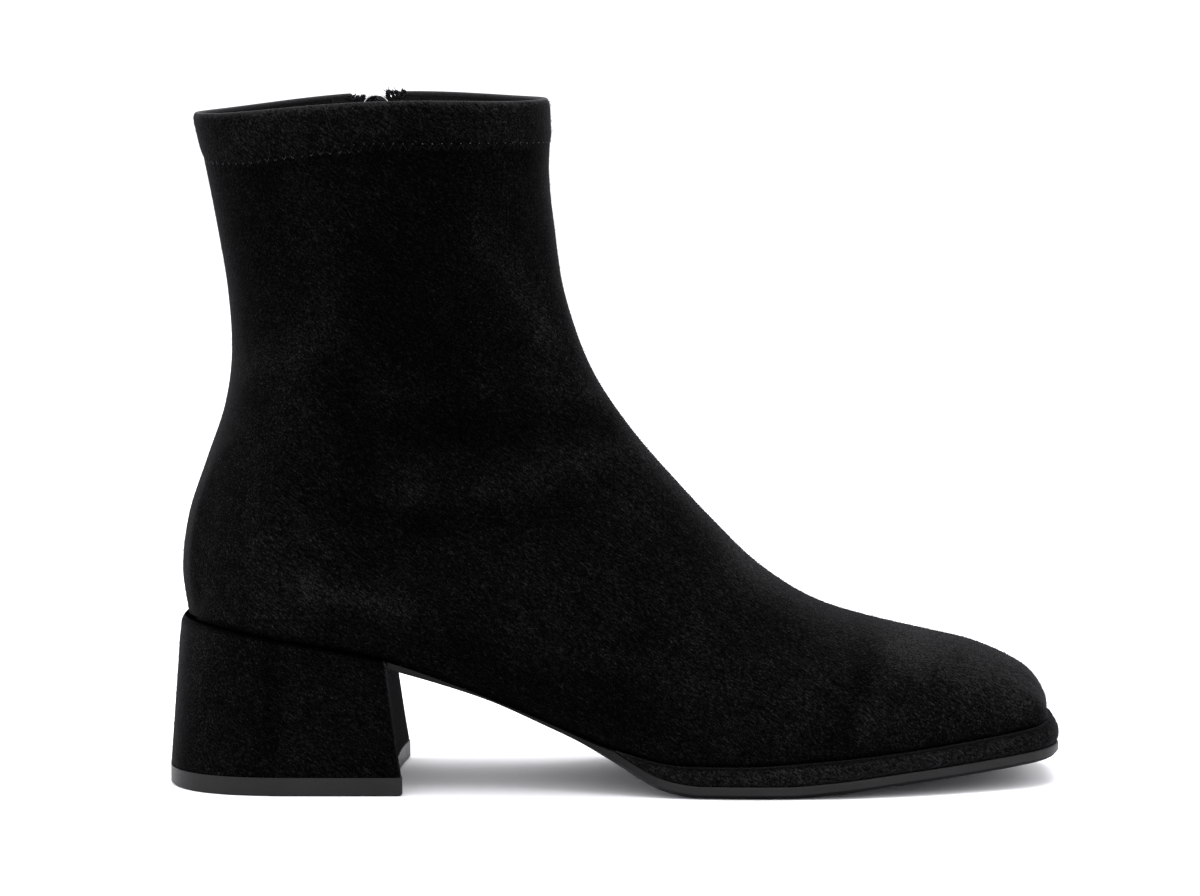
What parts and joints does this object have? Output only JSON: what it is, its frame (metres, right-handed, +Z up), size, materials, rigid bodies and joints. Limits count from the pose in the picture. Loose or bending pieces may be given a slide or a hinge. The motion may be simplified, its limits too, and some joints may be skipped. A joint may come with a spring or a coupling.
{
  "type": "ankle boot",
  "caption": "Plain suede sock ankle boot for the right foot, with a flared block heel, a softly squared toe on a covered rim, a folded hem at the collar and a zip on the inner side.",
  "frame": {"origin": "on the ground, under the middle of the boot's length and width", "axes": "+X towards the toe, +Y towards the inner side of the foot, where the zip is, +Z up"},
  "size_m": [0.255, 0.0843, 0.1963],
  "materials": {
    "suede": "black stretch suede with a short nap",
    "midsole_suede": "black suede cover",
    "heel_suede": "black suede cover",
    "lining": "smooth black sock lining",
    "sole_rubber": "satin",
    "top_piece_rubber": "satin",
    "zip_tape": "woven tape",
    "zip_coil": "nylon coil",
    "zip_metal": "plain bright metal"
  },
  "bodies": {
    "boot": {"upper": "suede", "insole": "lining", "covered_midsole": "midsole_suede", "outsole": "sole_rubber", "heel": "heel_suede", "top_piece": "top_piece_rubber", "zip_tape": "zip_tape", "zip_chain": "zip_coil", "zip_slider": "zip_metal"},
    "pull_tab": {"zip_pull": "zip_metal"}
  },
  "joints": [
    {"name": "pull_swing", "type": "hinge", "parent": "boot", "child": "pull_tab", "pos_m": [-0.06933, 0.02869, 0.1902], "axis": [1, 0, 0], "range_deg": [0, 165]}
  ]
}
